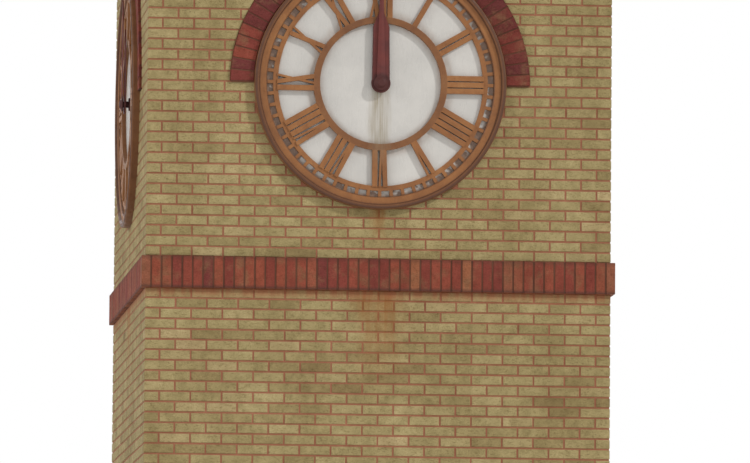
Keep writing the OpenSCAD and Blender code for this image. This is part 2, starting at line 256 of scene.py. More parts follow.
def weatheredAndShaded(tree, coords, base):
    across, z = sidePlace(tree, coords)
    wander = fade(tree, noise(tree, scaled(tree, coords, (7, 7, 1.6)), 1.0, 3.0), 0.3, 0.7,
                  -weatherAndShade["stray"], weatherAndShade["stray"])
    across = maths(tree, "ADD", across, wander)
    streaks = fade(tree, noise(tree, scaled(tree, coords, (24, 24, 2)), 1.0, 4.0), 0.34, 0.6, 0.5)
    for run in weatherAndShade["runs"]:
        amount = maths(tree, "MULTIPLY", fade(tree, across, 0.0, run["half"], 1.0, 0.0),
                       edgeDirtAndShade(tree, z, run["top"], -run["length"], run["strength"]))
        base = mixed(tree, maths(tree, "MULTIPLY", amount, streaks), base, weatherAndShade["rust"])
    patches = noise(tree, scaled(tree, coords, (2.2, 2.2, 0.9)), 1.0, 6.0, 0.65)
    base = shaded(tree, base, patches, srgb(224, 220, 212))
    for box, reach, strength in weatherAndShade["washed"]:
        amount = edgeDirtAndShade(tree, z, box[0].z, -reach, strength)
        base = mixed(tree, maths(tree, "MULTIPLY", amount, streaks), base, weatherAndShade["wash"])
    # Painted shade with soot: the bottom of each band is darkened, deepening the shade line under
    # it; its top is darker too
    for band in (lowerBand, upperBand):
        for edge, where in ((band[0].z, "sootAndShadeFoot"), (band[1].z, "darkerTop")):
            base = mixed(tree, edgeDirtAndShade(tree, z, edge, *weatherAndShade[where]), base, weatherAndShade["sootAndShade"])
    wet = maths(tree, "MULTIPLY", fade(tree, z, 0.0, weatherAndShade["dampTop"], weatherAndShade["dampest"], 0.0),
                fade(tree, patches, 0.35, 0.6))
    return mixed(tree, wet, base, weatherAndShade["damp"])


# Masonry finishes

masonry = dict(
    buff=((0.0, srgb(151, 131, 91)), (0.3, srgb(168, 152, 108)),
          (0.65, srgb(180, 165, 120)), (1.0, srgb(192, 172, 130))),
    red=((0.0, srgb(115, 55, 55)), (0.35, srgb(141, 67, 57)), (0.6, srgb(156, 81, 62)),
         (0.8, srgb(153, 95, 73)), (1.0, srgb(171, 108, 76))),
    bloom=srgb(142, 108, 80),  # pale dust that clings to the red bricks
    speck=srgb(74, 56, 44),
    buffMortar=(srgb(147, 91, 70), srgb(175, 118, 93)),
    redMortar=(srgb(88, 54, 43), srgb(118, 80, 62)),
    grain=210.0, specks=90.0, sand=420.0,
)


def makeBrickFinish(name, stops, bloom=0.0):
    finish, tree, shader, coords = startFinish(name, 0.2)
    base = ramp(tree, tone(tree), *stops)
    if bloom:
        dusty = fade(tree, noise(tree, coords, 7.5, 6.0, 0.7), 0.48, 0.70, 0.0, bloom)
        base = mixed(tree, dusty, base, masonry["bloom"])
    base = shaded(tree, base, noise(tree, coords, 14.0, 3.0), srgb(222, 220, 214))
    creases = noise(tree, scaled(tree, coords, (46, 46, 120)), 1.0, 4.0, 0.6)
    base = shaded(tree, base, creases, srgb(214, 208, 198), 0.32, 0.46)
    grain = noise(tree, coords, masonry["grain"], 5.0, 0.7)
    base = shaded(tree, base, grain, srgb(205, 200, 190), 0.35, 0.6)
    specks = fade(tree, noise(tree, coords, masonry["specks"], 2.0), 0.66, 0.72, 0.0, 0.55)
    base = mixed(tree, specks, base, masonry["speck"])
    tree.links.new(weatheredAndShaded(tree, coords, base), shader.inputs["Base Color"])
    rough(tree, shader, grain, 0.95, 0.78)
    bump(tree, shader, maths(tree, "MULTIPLY_ADD", creases, 0.6, grain), 0.0025)
    return finish


def makeMortarFinish(name, colours):
    finish, tree, shader, coords = startFinish(name, 0.2)
    cloud = noise(tree, coords, 5.0, 6.0, 0.65)
    base = ramp(tree, cloud, (0.25, colours[0]), (0.75, colours[1]))
    sand = noise(tree, coords, masonry["sand"], 3.0, 0.7)
    base = shaded(tree, base, sand, srgb(200, 196, 190), 0.3, 0.65)
    tree.links.new(weatheredAndShaded(tree, coords, base), shader.inputs["Base Color"])
    rough(tree, shader, sand, 0.88, 0.98)
    bump(tree, shader, sand, 0.0015)
    return finish


buffBrick = makeBrickFinish("buff_brick", masonry["buff"])
redBrick = makeBrickFinish("red_brick", masonry["red"], 0.65)
buffMortar = makeMortarFinish("buff_mortar", masonry["buffMortar"])
redMortar = makeMortarFinish("red_mortar", masonry["redMortar"])
print("masonry finishes are mixed")


# Brick shapes: the outer face lies at y = 0 and looks along -Y, with the origin in its middle

brick = dict(
    length=0.213, height=0.063, depth=0.1025, joint=0.012,
    proud=0.004,     # the bricks stand this far out of the pointing
    sunk=0.010,      # and thin slabs of them reach this far into the wall
    frameGap=0.001,  # those round the doorway end this far before its frame, or a little more
    edge=0.003,
    tilt=0.25,       # degrees
    shift=0.0008,
    least=0.03,      # shorter ends at a gap are left out
    tones=0.17, redTones=0.17,
)
course = brick["height"] + brick["joint"]
hair = 1e-6          # points nearer than this lie in one plane


def startBox(size, middle):
    bm = bmesh.new()
    bmesh.ops.create_cube(bm, size=1.0)
    bmesh.ops.scale(bm, vec=size, verts=bm.verts)
    bmesh.ops.translate(bm, vec=middle, verts=bm.verts)
    return bm


def wearEdges(bm, edges, width, segments=1):
    bmesh.ops.bevel(bm, geom=edges, offset=width, offset_type="OFFSET", segments=segments,
                    profile=0.5, affect="EDGES", material=-1)


# Takes away what lies past a plane, and closes the cut
def cutAlong(bm, point, normal):
    made = bmesh.ops.bisect_plane(bm, geom=bm.verts[:] + bm.edges[:] + bm.faces[:],
                                  plane_co=point, plane_no=normal, clear_outer=True)
    rim = [e for e in made["geom_cut"] if isinstance(e, bmesh.types.BMEdge)]
    bmesh.ops.holes_fill(bm, edges=rim, sides=0)


def addShape(bm, shape):
    mesh = bpy.data.meshes.new("part")
    shape.to_mesh(mesh)
    shape.free()
    bm.from_mesh(mesh)
    bpy.data.meshes.remove(mesh)


def joinShapes(shapes):
    bm = bmesh.new()
    for shape in shapes:
        addShape(bm, shape)
    return bm


def makeShape(bm):
    bm.verts.index_update()
    points = np.array([v.co for v in bm.verts])
    faces = [[v.index for v in f.verts] for f in bm.faces]
    bm.free()
    return points, faces


# The face can slope back towards its top, and so can one end, -1 or 1, where it turns a corner
def makeBlock(length, depth, height, edge=brick["edge"], everyEdge=False, slope=0.0, slopedEnd=0):
    bm = startBox((length, depth, height), (0, depth / 2, 0))
    top = [v for v in bm.verts if v.co.y < hair and v.co.z > 0]
    bmesh.ops.translate(bm, vec=(0, slope, 0), verts=top)
    end = [v for v in bm.verts if v.co.x * slopedEnd > 0 and v.co.z > 0]
    bmesh.ops.translate(bm, vec=(-slope * slopedEnd, 0, 0), verts=end)
    worn = [e for e in bm.edges if everyEdge or all(v.co.y < slope + hair for v in e.verts)]
    wearEdges(bm, worn, edge)
    return bm


def uneven():
    turn = Matrix.Rotation(math.radians(chance.uniform(-1, 1) * brick["tilt"]), 4, "Y")
    move = Vector(chance.uniform(-1, 1) * brick["shift"] for i in range(3))
    return Matrix.Translation(move) @ turn


def pickTone(middle=0.5, width=brick["tones"]):
    return min(1.0, max(0.0, chance.gauss(middle, width)))


def showMesh(name, mesh, finish, body="tower"):
    mesh.materials.append(finish)
    piece = bpy.data.objects.new(name, mesh)
    bpy.context.scene.collection.objects.link(piece)
    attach(piece, body)
    return piece


def showShape(name, bm, finish, place=Matrix()):
    bmesh.ops.recalc_face_normals(bm, faces=bm.faces)
    mesh = bpy.data.meshes.new(name)
    bm.to_mesh(mesh)
    bm.free()
    mesh.transform(place)
    return showMesh(name, mesh, finish)


# One piece from many laid copies of a few shapes, each copy with its own matrix and tone
def joinCopies(name, laid, finish, cut=None):
    points, faces, tones, count = [], [], [], 0
    for (shapePoints, shapeFaces), matrix, shade in laid:
        turn, shift = np.array(matrix.to_3x3()), np.array(matrix.translation)
        points.append(shapePoints @ turn.T + shift)
        faces.extend([[i + count for i in face] for face in shapeFaces])
        tones.extend([shade] * len(shapeFaces))
        count += len(shapePoints)
    mesh = bpy.data.meshes.new(name)
    mesh.from_pydata(np.concatenate(points).tolist(), [], faces)
    mesh.attributes.new("tone", "FLOAT", "FACE").data.foreach_set("value", tones)
    if cut is not None:
        bm = bmesh.new()
        bm.from_mesh(mesh)
        addShape(bm, cut)
        bm.to_mesh(mesh)
        bm.free()
    return showMesh(name, mesh, finish)


# One course along a side. Sides that hold its corner bricks run from end to end, and the
# others start halfSteps half bricks further in, past their neighbours' ends
def courseSpans(face, unit, halfSteps, holdsCorners):
    count = round((2 * face + brick["joint"]) / (unit + brick["joint"]))
    pitch = (2 * face + brick["joint"]) / count
    first = 0 if holdsCorners else halfSteps / 2
    number = count if holdsCorners else count - halfSteps
    lows = [-face + (first + i) * pitch for i in range(number)]
    corners = {0: -1, number - 1: 1} if holdsCorners else {}
    return [(low, low + pitch - brick["joint"], corners.get(i, 0)) for i, low in enumerate(lows)]


# Spans with a gap taken out, each marked True where it ends at the gap or a joint away from it.
# A span's corner is -1 or 1 where it turns one, and 0 elsewhere
def withGap(spans, gapHalf):
    kept = []
    for low, high, corner in spans:
        if max(-high, low) > gapHalf + brick["joint"]:
            kept.append((low, high, corner, False))
            continue
        if -gapHalf - low > brick["least"]:
            kept.append((low, -gapHalf, corner, True))
        if high - gapHalf > brick["least"]:
            kept.append((gapHalf, high, corner, True))
    return kept


bonds = dict(stretcher=(brick["length"], 1), header=((brick["length"] - brick["joint"]) / 2, 2),
             soldier=(brick["height"], 3))


# Lays one course of a bond on one side and returns its copies
def layCourse(side, face, z, bond, holdsCorners, depth, height, gapHalf=0.0, slope=0.0,
              skip=None, tones=brick["redTones"]):
    unit, halfSteps = bonds[bond]
    spans = courseSpans(face, unit, halfSteps, holdsCorners)
    wide = spans[0][1] - spans[0][0]
    cornerDepth = (wide + brick["joint"]) * halfSteps / 2 - brick["joint"]
    shapes = shapesFor(wide, depth, cornerDepth, height, slope)
    laid = []
    kept = withGap(spans, gapHalf) if gapHalf else [(*span, False) for span in spans]
    for low, high, corner, jamb in kept:
        if skip is not None and skip(low, high):
            continue
        place = sideTurn[side] @ Matrix.Translation(((low + high) / 2, -face, z))
        stretch = Matrix.Diagonal(((high - low) / wide, 1, 1, 1))
        loose = Matrix() if corner or jamb else uneven()
        laid.append((shapes["jamb" if jamb else corner], place @ loose @ stretch,
                     pickTone(0.5, tones)))
    return laid


shapeStore = {}


def shapesFor(wide, depth, cornerDepth, height, slope):
    key = (wide, depth, cornerDepth, height, slope)
    if key not in shapeStore:
        jambDepth = brick["depth"] - brick["frameGap"]
        store = {end: makeShape(makeBlock(wide, max(depth, cornerDepth), height, everyEdge=True,
                                          slope=slope, slopedEnd=end)) for end in (-1, 1)}
        store[0] = makeShape(makeBlock(wide, depth, height, slope=slope))
        store["jamb"] = makeShape(makeBlock(wide, max(depth, jambDepth), height, everyEdge=True,
                                            slope=slope))
        shapeStore[key] = store
    return shapeStore[key]


# Walls in stretcher bond, with bricks cut round the dial and its arch

walls = dict(
    archJoint=0.007,       # mortar between the arch and the cut bricks
    underRim=0.020,        # below the arch the bricks run this far under the dial's rim
    least=0.18,            # smaller shares of a brick are left out
    tested=(9, 3),         # points across and up a brick that tell its share
    jambJoint=0.002,       # bricks at the doorway stand this far into it
)
wallFace = wallHalf + brick["proud"]
doorHalf = doorFrame[1].x - walls["jambJoint"]
lintelHalf = lintel[1].x + brick["joint"] / 2


# Share of a brick outside the dial and arch, with the direction and radius of the cut
def dialCut(low, high, z):
    limit = archRadius + walls["archJoint"] if z > dialHeight else dialRadius - walls["underRim"]
    across = np.linspace(low, high, walls["tested"][0])
    up = z - dialHeight + np.linspace(-0.5, 0.5, walls["tested"][1]) * brick["height"]
    grid = np.array([(a, u) for a in across for u in up])
    outside = grid[np.hypot(grid[:, 0], grid[:, 1]) > limit]
    if len(outside) == 0:
        return 0.0, None, limit
    middle = outside.mean(axis=0)
    return len(outside) / len(grid), middle / np.hypot(*middle), limit


def cutBrick(cut, low, high, z, away, limit, turn):
    shape = makeBlock(high - low, brick["sunk"] + brick["proud"], brick["height"])
    bmesh.ops.translate(shape, vec=((low + high) / 2, -wallFace, z), verts=shape.verts)
    normal = Vector((away[0], 0, away[1]))
    cutAlong(shape, Vector((0, 0, dialHeight)) + normal * limit, -normal)
    bmesh.ops.recalc_face_normals(shape, faces=shape.faces)
    bmesh.ops.transform(shape, matrix=turn, verts=shape.verts)
    shade = shape.faces.layers.float.new("tone")
    brickTone = pickTone()
    for face in shape.faces:
        face[shade] = brickTone
    addShape(cut, shape)


def layWall(side):
    laid = []
    cut = bmesh.new()
    cut.faces.layers.float.new("tone")
    stages = ((plinthTop, lowerBand[0].z), (lowerBand[1].z, upperBand[0].z),
              (topWall[0].z, topWall[1].z))
    for bottom, top in stages:
        for k in range(round((top - bottom) / course)):
            z = bottom + (k + 0.5) * course
            row = round((z - plinthTop) / course - 0.5)
            gapHalf = 0.0
            if side == "back" and z < lintel[0].z:
                gapHalf = doorHalf
            elif side == "back" and z < lintel[1].z:
                gapHalf = lintelHalf
            nearDial = abs(z - dialHeight) < archRadius + course

            def cutAway(low, high):
                share, away, limit = dialCut(low, high, z)
                if walls["least"] < share < 1.0:
                    cutBrick(cut, low, high, z, away, limit, sideTurn[side])
                return share < 1.0

            laid += layCourse(side, wallFace, z, "stretcher", (row + sides.index(side)) % 2 == 0,
                              brick["sunk"] + brick["proud"], brick["height"], gapHalf,
                              skip=cutAway if nearDial else None, tones=brick["tones"])
    joinCopies(side + "_bricks", laid, buffBrick, cut)


for side in sides:
    layWall(side)
print("walls are laid")


# Soldier bands, lintel and arches in red brick

bands = dict(
    over=0.0015,    # the bricks cover the edges of their band by this much
    depth=0.044,
)


def layBand(name, box):
    middle = (box[0].z + box[1].z) / 2
    tall = box[1].z - box[0].z + 2 * bands["over"]
    laid = []
    for i, side in enumerate(sides):
        laid += layCourse(side, box[1].x + brick["proud"], middle, "soldier", i % 2 == 0,
                          bands["depth"], tall)
    joinCopies(name, laid, redBrick)


def layLintel():
    low, high = lintel
    tall = high.z - low.z - brick["joint"] / 2 + bands["over"]
    count = round((high.x - low.x) / course)
    pitch = (high.x - low.x) / count
    depth = brick["depth"] + brick["proud"] - brick["frameGap"]
    soldier = makeShape(makeBlock(pitch - brick["joint"], depth, tall))
    laid = []
    for k in range(count):
        place = Matrix.Translation((low.x + (k + 0.5) * pitch, -wallFace,
                                    low.z - bands["over"] + tall / 2))
        laid.append((soldier, sideTurn["back"] @ place, pickTone(0.5, brick["redTones"])))
    joinCopies("lintel_bricks", laid, redBrick)


layBand("lower_band_bricks", lowerBand)
layBand("upper_band_bricks", upperBand)
layLintel()

arch = dict(
    count=39, joint=0.009,
    inner=dialRadius + 0.003, outer=archRadius + bands["over"],
    face=archOut + brick["proud"],
    sunk=0.006,     # the bricks reach this far into the wall
    tone=0.2,
)


def makeVoussoir():
    share = math.pi / arch["count"]
    innerWide = share * arch["inner"] - arch["joint"]
    outerWide = share * arch["outer"] - arch["joint"]
    middle = (arch["inner"] + arch["outer"]) / 2
    depth = arch["face"] - wallHalf + arch["sunk"]
    bm = startBox((innerWide, depth, arch["outer"] - arch["inner"]), (0, depth / 2, middle))
    wide = [v for v in bm.verts if v.co.z > middle]
    bmesh.ops.scale(bm, vec=(outerWide / innerWide, 1, 1), verts=wide)
    wearEdges(bm, [e for e in bm.edges if all(v.co.y < hair for v in e.verts)], brick["edge"])
    return makeShape(bm)


voussoir = makeVoussoir()
for side in sides:
    laid = []
    for k in range(arch["count"]):
        angle = math.pi * ((k + 0.5) / arch["count"] - 0.5)
        place = (sideTurn[side] @ Matrix.Translation((0, -arch["face"], dialHeight))
                 @ Matrix.Rotation(angle, 4, "Y"))
        out = Matrix.Translation((0, chance.uniform(-1, 1) * brick["shift"], 0))
        laid.append((voussoir, place @ out, pickTone(arch["tone"], brick["redTones"])))
    joinCopies(side + "_arch_bricks", laid, redBrick)
print("bands, lintel and arches are laid")


# Plinth with a sloping top course, and the oversailing courses of the cornice

plinthBricks = dict(depth=0.09)
corniceBricks = dict(gap=0.0055, under=0.012, bonds=("stretcher", "header", "stretcher"))


def layPlinth():
    laid = []
    half = plinth[1].x
    out = half - wallHalf
    rows = round(plinthTop / course)
    for row in range(rows):
        top = row == rows - 1
        slope = out * brick["height"] / course if top else 0.0
        face = half + brick["proud"] - (out * brick["joint"] / 2 / course if top else 0.0)
        for i, side in enumerate(sides):
            laid += layCourse(side, face, (row + 0.5) * course, "stretcher", (row + i) % 2 == 0,
                              plinthBricks["depth"], brick["height"],
                              doorHalf if side == "back" else 0.0, slope)
    joinCopies("plinth_bricks", laid, redBrick)


def layCornice():
    laid = []
    rows = round((cornice[1].z - cornice[0].z) / course)
    out = (cornice[1].x - wallHalf) / rows
    tall = course - corniceBricks["gap"]
    for row in range(rows):
        z = cornice[0].z + row * course - bands["over"] + tall / 2
        bond = corniceBricks["bonds"][row % len(corniceBricks["bonds"])]
        for i, side in enumerate(sides):
            laid += layCourse(side, wallFace + (row + 1) * out, z, bond, (row + i) % 2 == 0,
                              out + corniceBricks["under"], tall)
    joinCopies("cornice_bricks", laid, redBrick)


layPlinth()
layCornice()
print("plinth and cornice are laid")


# Castings, glass and hands

dialPaint = dict(
    brown=(srgb(116, 74, 42), srgb(136, 89, 50), srgb(150, 104, 62)),
    # A dark colour for grime on chips, a darker inner ring, and painted shade at the rim and its
    # grooves
    rust=srgb(92, 50, 30), shadeAndGrime=srgb(66, 40, 30),
    # Two dark rings on the rim, painted shade with grime: radius, half width and strength
    shadedGrooves=((dialRadius - 0.036, 0.009, 0.8), (dialRadius - 0.09, 0.010, 0.6)),
    glass=(srgb(175, 172, 167), srgb(194, 190, 184)),
    drip=srgb(134, 121, 97), dripHalf=0.11, dripStray=0.02,
    dripStrength=1.0, trailStrength=0.3,  # on the glass, and on the casting below the hub
    dust=srgb(124, 96, 72), silt=srgb(112, 76, 46),  # silt lies behind the minute track
    # The hands' paint, and a dark colour for painted shade at their edges and hub
    maroon=(srgb(80, 38, 35), srgb(98, 46, 42), srgb(112, 58, 50)), handShade=srgb(48, 28, 26),
)

# Where dirt gathers and where shade is painted, by radius, height or distance from the middle:
# from, to, and its strength at both
dirtAndShade = dict(
    # The rim entries mark painted shade on the rim's outer edge
    rim=(dialRadius - 0.05, dialRadius - 0.012, 0.0, 0.85),
    rimShadeEnd=(dialRadius - 0.006, dialRadius - 0.002, 0.85, 0.35),
    innerRing=(0.488, 0.480, 0.0, 0.35),
    ringDust=(0.39, 0.445, 0.0, 0.45), ringDustEnd=(0.50, 0.56, 1.0, 0.0),
    silt=(0.79, 0.825, 0.0, 0.9),
    drip=(dialHeight - 1.1, dialHeight - 0.1, 0.0, 1.0),
    dripEnd=(dialHeight - 0.04, dialHeight, 1.0, 0.0),
    trail=(dialHeight - 0.66, dialHeight - 0.44, 0.0, 1.0),
    trailEnd=(dialHeight - 0.40, dialHeight - 0.38, 1.0, 0.0),
    # The hand entries mark painted shade along the blades' edges and round the hub
    handEdgeShade=(0.046, 0.062, 0.0, 0.5), handHubShade=(0.055, 0.095, 0.65, 0.0),
)


def dialRadiusAt(tree, coords):
    across, z = sidePlace(tree, coords)
    up = maths(tree, "SUBTRACT", z, dialHeight)
    squares = maths(tree, "ADD", maths(tree, "MULTIPLY", across, across),
                    maths(tree, "MULTIPLY", up, up))
    return maths(tree, "SQRT", squares), across, z


# Fine threads of dirty water that ran down from the hub
def trickle(tree, coords, across, strength):
    half, stray = dialPaint["dripHalf"], dialPaint["dripStray"]
    wander = fade(tree, noise(tree, scaled(tree, coords, (12, 12, 2)), 1.0, 3.0),
                  0.3, 0.7, -stray, stray)
    threads = fade(tree, noise(tree, scaled(tree, coords, (75, 75, 2.5)), 1.0, 4.0), 0.35, 0.6,
                   0.45, 1.0)
    return maths(tree, "MULTIPLY", threads,
                 fade(tree, maths(tree, "ADD", across, wander), 0.0, half, strength, 0.0))


def makeCastingFinish():
    finish, tree, shader, coords = startFinish("brown_casting", 0.3)
    dark, plain, light = dialPaint["brown"]
    base = ramp(tree, noise(tree, coords, 6.0, 8.0, 0.7), (0.3, dark), (0.55, plain), (0.75, light))
    spots = noise(tree, coords, 22.0, 6.0, 0.75)
    rust = fade(tree, spots, 0.58, 0.74, 0.0, 0.6)
    base = mixed(tree, rust, base, dialPaint["rust"])
    runs = noise(tree, scaled(tree, coords, (24, 24, 8)), 1.0, 5.0, 0.7)
    base = mixed(tree, fade(tree, runs, 0.56, 0.72, 0.0, 0.35), base, dialPaint["rust"])
    chips = fade(tree, noise(tree, coords, 58.0, 7.0, 0.8), 0.66, 0.69, 0.0, 0.6)
    base = mixed(tree, chips, base, dialPaint["shadeAndGrime"])
    radius, across, z = dialRadiusAt(tree, coords)
    # Painted shade with grime: two dark rings on the rim
    for middle, half, strength in dialPaint["shadedGrooves"]:
        off = maths(tree, "ABSOLUTE", maths(tree, "SUBTRACT", radius, middle))
        base = mixed(tree, fade(tree, off, 0.0, half, strength, 0.0), base, dialPaint["shadeAndGrime"])
    # Painted shade: the rim darkens towards its outer edge, standing in for its flank in shade
    rim = maths(tree, "MINIMUM", fade(tree, radius, *dirtAndShade["rim"]),
                fade(tree, radius, *dirtAndShade["rimShadeEnd"]))
    base = mixed(tree, rim, base, dialPaint["shadeAndGrime"])
    base = mixed(tree, fade(tree, radius, *dirtAndShade["innerRing"]), base, dialPaint["shadeAndGrime"])
    trail = maths(tree, "MULTIPLY", trickle(tree, coords, across, dialPaint["trailStrength"]),
                  maths(tree, "MULTIPLY", fade(tree, z, *dirtAndShade["trail"]),
                        fade(tree, z, *dirtAndShade["trailEnd"])))
    base = mixed(tree, trail, base, dialPaint["drip"])
    tree.links.new(base, shader.inputs["Base Color"])
    rough(tree, shader, spots, 0.4, 0.75)
    pitting = noise(tree, coords, 160.0, 3.0)
    bump(tree, shader, maths(tree, "SUBTRACT", pitting, chips), 0.0012)
    return finish


def makeGlassFinish():
    finish, tree, shader, coords = startFinish("opal_glass")
    dull, clear = dialPaint["glass"]
    base = ramp(tree, noise(tree, coords, 2.2, 5.0, 0.6), (0.3, dull), (0.7, clear))
    radius, across, z = dialRadiusAt(tree, coords)
    drip = maths(tree, "MULTIPLY", trickle(tree, coords, across, dialPaint["dripStrength"]),
                 maths(tree, "MULTIPLY", fade(tree, z, *dirtAndShade["drip"]),
                       fade(tree, z, *dirtAndShade["dripEnd"])))
    base = mixed(tree, drip, base, dialPaint["drip"])
    film = noise(tree, scaled(tree, coords, (18, 18, 5)), 1.0, 6.0, 0.7)
    clumps = fade(tree, noise(tree, coords, 8.0, 3.0), 0.42, 0.56, 0.0, 0.06)
    silt = fade(tree, maths(tree, "ADD", radius, clumps), *dirtAndShade["silt"])
    base = mixed(tree, silt, base, dialPaint["silt"])
    dust = maths(tree, "MULTIPLY", fade(tree, radius, *dirtAndShade["ringDust"]),
                 fade(tree, radius, *dirtAndShade["ringDustEnd"]))
    dust = maths(tree, "MULTIPLY", dust, fade(tree, film, 0.35, 0.6, 0.3, 1.0))
    base = mixed(tree, dust, base, dialPaint["dust"])
    tree.links.new(base, shader.inputs["Base Color"])
    rough(tree, shader, film, 0.18, 0.42)
    shader.inputs["Coat Weight"].default_value = 0.2
    return finish


def makeHandFinish():
    finish, tree, shader, coords = startFinish("maroon_hands", 0.25)
    dark, plain, light = dialPaint["maroon"]
    cloud = noise(tree, coords, 9.0, 7.0, 0.7)
    base = ramp(tree, cloud, (0.3, dark), (0.55, plain), (0.8, light))
    chips = fade(tree, noise(tree, coords, 48.0, 6.0, 0.75), 0.66, 0.70, 0.0, 0.5)
    base = mixed(tree, chips, base, dialPaint["rust"])
    radius, across, _ = dialRadiusAt(tree, coords)
    # Painted shade: the blades darken towards both edges and round the hub, standing in for their
    # shaded flanks and the shade about the hub
    shadeAndGrime = maths(tree, "MAXIMUM", fade(tree, across, *dirtAndShade["handEdgeShade"]),
                  fade(tree, radius, *dirtAndShade["handHubShade"]))
    base = mixed(tree, shadeAndGrime, base, dialPaint["handShade"])
    tree.links.new(base, shader.inputs["Base Color"])
    rough(tree, shader, cloud, 0.45, 0.75)
    bump(tree, shader, maths(tree, "SUBTRACT", noise(tree, coords, 140.0, 3.0), chips), 0.0006)
    return finish


# Timber, slate, lead, iron and concrete

outdoors = dict(
    paint=(srgb(66, 42, 34), srgb(88, 58, 46)), bare=srgb(120, 104, 86),
    slate=((0.0, srgb(64, 67, 74)), (0.5, srgb(80, 83, 91)), (1.0, srgb(98, 100, 106))),
    clay=(srgb(74, 70, 72), srgb(98, 92, 92)),
    lichen=srgb(128, 124, 96),
    lead=(srgb(96, 99, 104), srgb(132, 134, 137)), iron=(srgb(34, 33, 33), srgb(56, 52, 50)),
    concrete=(srgb(126, 123, 115), srgb(158, 155, 147)), moss=srgb(84, 88, 62),
)


def makeTimberFinish():
    finish, tree, shader, coords = startFinish("painted_timber", 0.35)
    grain = noise(tree, scaled(tree, coords, (26, 26, 2.2)), 1.0, 6.0, 0.6)
    base = ramp(tree, grain, (0.3, outdoors["paint"][0]), (0.7, outdoors["paint"][1]))
    flakes = fade(tree, noise(tree, coords, 34.0, 7.0, 0.75), 0.66, 0.70, 0.0, 0.7)
    base = mixed(tree, flakes, base, outdoors["bare"])
    tree.links.new(base, shader.inputs["Base Color"])
    tree.links.new(maths(tree, "MULTIPLY_ADD", flakes, 0.45, 0.48), shader.inputs["Roughness"])
    bump(tree, shader, grain, 0.0012)
    return finish


def makeSlateFinish():
    finish, tree, shader, coords = startFinish("slate")
    base = ramp(tree, tone(tree), *outdoors["slate"])
    riven = noise(tree, scaled(tree, coords, (30, 30, 12)), 1.0, 7.0, 0.65)
    base = shaded(tree, base, riven, srgb(200, 202, 204))
    lichen = fade(tree, noise(tree, coords, 9.0, 8.0, 0.7), 0.62, 0.74, 0.0, 0.4)
    base = mixed(tree, lichen, base, outdoors["lichen"])
    tree.links.new(base, shader.inputs["Base Color"])
    rough(tree, shader, riven, 0.5, 0.75)
    bump(tree, shader, riven, 0.003)
    return finish


hips = dict(tile=0.40, lapShadow=0.02)  # metres of a hip tile that show, and its share in shadow
roofHalf = roof[1].x
roofRise = roof[1].z - roof[0].z


# Hip tiles: each has its own tone, and a painted shadow where it laps over the next
def makeHipFinish():
    finish, tree, shader, coords = startFinish("hip_tiles", 0.35)
    node = tree.nodes.new("ShaderNodeSeparateXYZ")
    tree.links.new(coords, node.inputs["Vector"])
    hipRun = math.hypot(roofHalf, roofHalf)
    hipLength = math.hypot(hipRun, roofRise)
    out = maths(tree, "ADD", maths(tree, "ABSOLUTE", node.outputs["X"]),
                maths(tree, "ABSOLUTE", node.outputs["Y"]))
    down = maths(tree, "MULTIPLY", maths(tree, "SUBTRACT", roof[1].z, node.outputs["Z"]),
                 roofRise / hipLength)
    along = maths(tree, "MULTIPLY_ADD", out, hipRun / hipLength / math.sqrt(2), down)
    tiles = maths(tree, "DIVIDE", maths(tree, "SUBTRACT", hipLength, along), hips["tile"])
    seed = tree.nodes.new("ShaderNodeCombineXYZ")
    tree.links.new(maths(tree, "FLOOR", tiles), seed.inputs["X"])
    tree.links.new(maths(tree, "SIGN", node.outputs["X"]), seed.inputs["Y"])
    tree.links.new(maths(tree, "SIGN", node.outputs["Y"]), seed.inputs["Z"])
    dice = tree.nodes.new("ShaderNodeTexWhiteNoise")
    tree.links.new(seed.outputs["Vector"], dice.inputs["Vector"])
    base = ramp(tree, dice.outputs["Value"], (0.0, outdoors["clay"][0]), (1.0, outdoors["clay"][1]))
    cloud = noise(tree, coords, 11.0, 7.0, 0.7)
    base = shaded(tree, base, cloud, srgb(196, 192, 188))
    lapShadow = fade(tree, maths(tree, "FRACT", tiles), 0.0, hips["lapShadow"], 0.8, 0.0)
    base = mixed(tree, lapShadow, base, outdoors["slate"][0][1])
    lichen = fade(tree, noise(tree, coords, 19.0, 8.0, 0.7), 0.6, 0.74, 0.0, 0.45)
    base = mixed(tree, lichen, base, outdoors["lichen"])
    tree.links.new(base, shader.inputs["Base Color"])
    rough(tree, shader, cloud, 0.6, 0.85)
    bump(tree, shader, noise(tree, coords, 90.0, 4.0), 0.001)
    return finish


def makeMetalFinish(name, colours, roughness, metallic):
    finish, tree, shader, coords = startFinish(name)
    dull = noise(tree, coords, 8.0, 6.0, 0.65)
    base = ramp(tree, dull, (0.3, colours[0]), (0.7, colours[1]))
    tree.links.new(base, shader.inputs["Base Color"])
    shader.inputs["Metallic"].default_value = metallic
    rough(tree, shader, dull, *roughness)
    bump(tree, shader, noise(tree, coords, 60.0, 4.0), 0.0008)
    return finish


def makeConcreteFinish():
    finish, tree, shader, coords = startFinish("concrete")
    cloud = noise(tree, coords, 7.0, 8.0, 0.65)
    base = ramp(tree, cloud, (0.3, outdoors["concrete"][0]), (0.7, outdoors["concrete"][1]))
    moss = fade(tree, noise(tree, coords, 17.0, 8.0, 0.7), 0.58, 0.72, 0.0, 0.5)
    base = mixed(tree, moss, base, outdoors["moss"])
    tree.links.new(base, shader.inputs["Base Color"])
    rough(tree, shader, cloud, 0.82, 0.96)
    bump(tree, shader, noise(tree, coords, 120.0, 4.0, 0.7), 0.002)
    return finish


casting = makeCastingFinish()
opal = makeGlassFinish()
handPaint = makeHandFinish()
timber = makeTimberFinish()
slate = makeSlateFinish()
lead = makeMetalFinish("grey_metal", outdoors["lead"], (0.38, 0.6), 0.35)
iron = makeMetalFinish("black_iron", outdoors["iron"], (0.4, 0.65), 0.0)
concrete = makeConcreteFinish()

